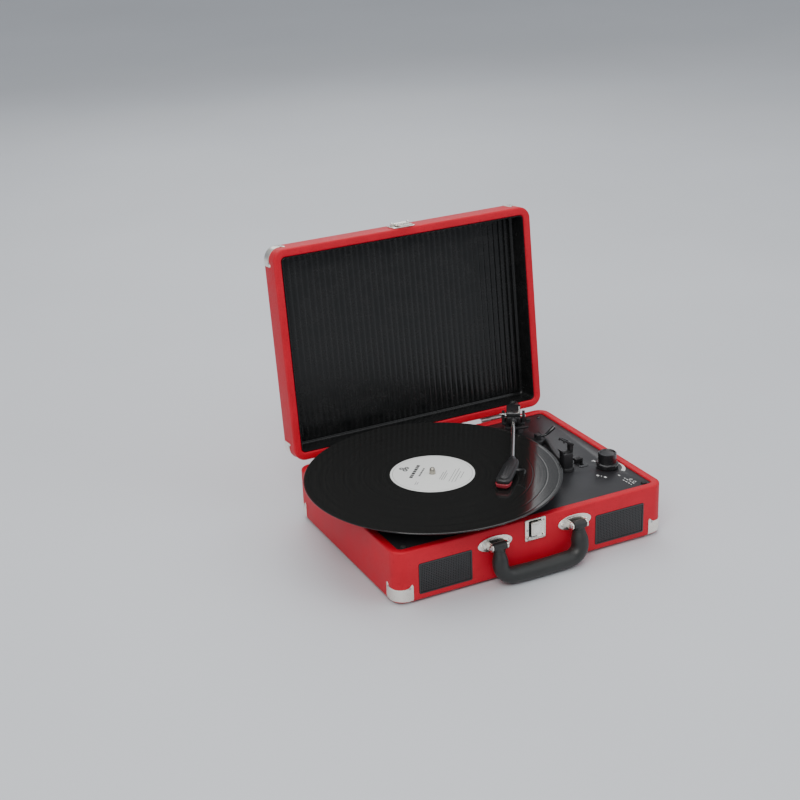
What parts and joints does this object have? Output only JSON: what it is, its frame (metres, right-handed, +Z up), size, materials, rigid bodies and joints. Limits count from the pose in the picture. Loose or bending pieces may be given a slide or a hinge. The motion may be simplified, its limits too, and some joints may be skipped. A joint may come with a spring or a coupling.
{
  "type": "suitcase record player",
  "caption": "Red suitcase record player with a hinged lid, carrying handle, belt-driven platter and record, and a swinging tonearm.",
  "frame": {"origin": "on the standing surface, under the middle of the case", "axes": "+Z up, +X to the right seen from the front, +Y to the back where the lid is hinged"},
  "size_m": [0.3924, 0.3624, 0.3359],
  "materials": {
    "leatherette": "grained red cover on board, satin",
    "chrome": "pressed and plated sheet",
    "black_plastic": "moulded, satin",
    "deck_black": "moulded deck, fine texture",
    "liner_black": "thermoformed ribbed tray, glossy",
    "steel": "turned or drawn, satin",
    "brass": "turned",
    "board": "painted fibreboard",
    "rubber": "moulded, matt",
    "vinyl": "pressed, grooved",
    "label_paper": "printed paper, blank of words",
    "grille": "perforated, matt",
    "cone": "pressed paper cone in a steel basket",
    "circuit": "glass-fibre board with parts",
    "stylus_red": "moulded, translucent red"
  },
  "bodies": {
    "base": {"arm_rest": "black_plastic", "base_case": "leatherette", "base_corner_back_left": "chrome", "base_corner_back_right": "chrome", "base_corner_front_left": "chrome", "base_corner_front_right": "chrome", "bottom_panel": "board", "circuit_board": "circuit", "deck_panel": "deck_black", "drive_belt": "rubber", "foot_back_left": "rubber", "foot_back_right": "rubber", "foot_front_left": "rubber", "foot_front_right": "rubber", "handle_bracket_left": "chrome", "handle_bracket_right": "chrome", "hinge_base_leaf_left": "chrome", "hinge_base_leaf_right": "chrome", "hinge_pin_left": "steel", "hinge_pin_right": "steel", "latch_plate": "chrome", "motor": "steel", "platter_bearing": "steel", "socket_panel": "black_plastic", "speaker_grille_left": "grille", "speaker_grille_right": "grille", "speaker_left": "cone", "speaker_right": "cone", "speed_switch": "black_plastic", "tonearm_base": "black_plastic", "volume_pot": "steel"},
    "lid": {"lid_case": "leatherette", "lid_top": "leatherette", "lid_liner": "liner_black", "lid_latch_plate": "chrome", "hinge_lid_leaf_left": "chrome", "hinge_lid_leaf_right": "chrome", "lid_corner_front_left": "chrome", "lid_corner_front_right": "chrome", "lid_corner_back_left": "chrome", "lid_corner_back_right": "chrome"},
    "hasp": {"lid_hasp": "chrome"},
    "carry_handle": {"handle": "black_plastic"},
    "front_latch": {"latch_tongue": "chrome"},
    "turntable": {"platter": "black_plastic", "platter_mat": "rubber", "spindle": "steel", "vinyl_record": "vinyl", "record_label": "label_paper"},
    "pulley": {"motor_pulley": "brass"},
    "knob": {"volume_knob": "black_plastic"},
    "speed_control": {"speed_lever": "black_plastic"},
    "arm_swivel": {"arm_pivot": "black_plastic"},
    "arm": {"arm_tube": "steel", "headshell": "black_plastic", "cartridge": "black_plastic", "stylus": "stylus_red"},
    "cue_lever": {"lift_lever": "black_plastic"},
    "cue_bar": {"lift_bar": "black_plastic"},
    "clip": {"arm_clip": "black_plastic"}
  },
  "joints": [
    {"name": "lid_hinge", "type": "hinge", "parent": "base", "child": "lid", "pos_m": [0, 0.135, 0.066], "axis": [1, 0, 0], "range_deg": [0, 35]},
    {"name": "hasp_hinge", "type": "hinge", "parent": "lid", "child": "hasp", "pos_m": [0, 0.18229, 0.33266], "axis": [1, 0, 0], "range_deg": [-100, 0]},
    {"name": "handle_swing", "type": "hinge", "parent": "base", "child": "carry_handle", "pos_m": [0, -0.1415, 0.0485], "axis": [1, 0, 0], "range_deg": [-82, 5]},
    {"name": "latch_tongue_hinge", "type": "hinge", "parent": "base", "child": "front_latch", "pos_m": [0, -0.1352, 0.044], "axis": [1, 0, 0], "range_deg": [0, 75], "stiffness_Nm_per_rad": 0.02},
    {"name": "platter_spin", "type": "hinge", "parent": "base", "child": "turntable", "pos_m": [-0.0643, -0.0107, 0.08], "axis": [0, 0, 1], "continuous": true},
    {"name": "pulley_spin", "type": "hinge", "parent": "base", "child": "pulley", "pos_m": [-0.12016, 0.04516, 0.075], "axis": [0, 0, 1], "continuous": true},
    {"name": "volume_turn", "type": "hinge", "parent": "base", "child": "knob", "pos_m": [0.146, -0.059, 0.075], "axis": [0, 0, 1], "range_deg": [-140, 140]},
    {"name": "speed_slide", "type": "slide", "parent": "base", "child": "speed_control", "axis": [0, 1, 0], "range_m": [-0.008, 0.008]},
    {"name": "arm_swing", "type": "hinge", "parent": "base", "child": "arm_swivel", "pos_m": [0.1, 0.081, 0.09], "axis": [0, 0, 1], "range_deg": [-10, 31.4]},
    {"name": "arm_tilt", "type": "hinge", "parent": "arm_swivel", "child": "arm", "pos_m": [0.1, 0.081, 0.09], "axis": [-0.8536, 0.521, 0], "range_deg": [0, 2]},
    {"name": "cue_lever_turn", "type": "hinge", "parent": "base", "child": "cue_lever", "pos_m": [0.1165, 0.042, 0.073], "axis": [1, 0, 0], "range_deg": [-60, 0]},
    {"name": "cue_bar_lift", "type": "slide", "parent": "base", "child": "cue_bar", "axis": [0, 0, 1], "range_m": [0, 0.0022]},
    {"name": "clip_turn", "type": "hinge", "parent": "base", "child": "clip", "pos_m": [0.1058, -0.04, 0.0974], "axis": [0, 1, 0], "range_deg": [-30, 184]}
  ],
  "couplings": [
    {"joint": "pulley_spin", "follows": "platter_spin", "ratio": 15},
    {"joint": "cue_lever_turn", "follows": "arm_tilt", "ratio": -30},
    {"joint": "cue_bar_lift", "follows": "arm_tilt", "m_per_rad": 0.0605}
  ]
}
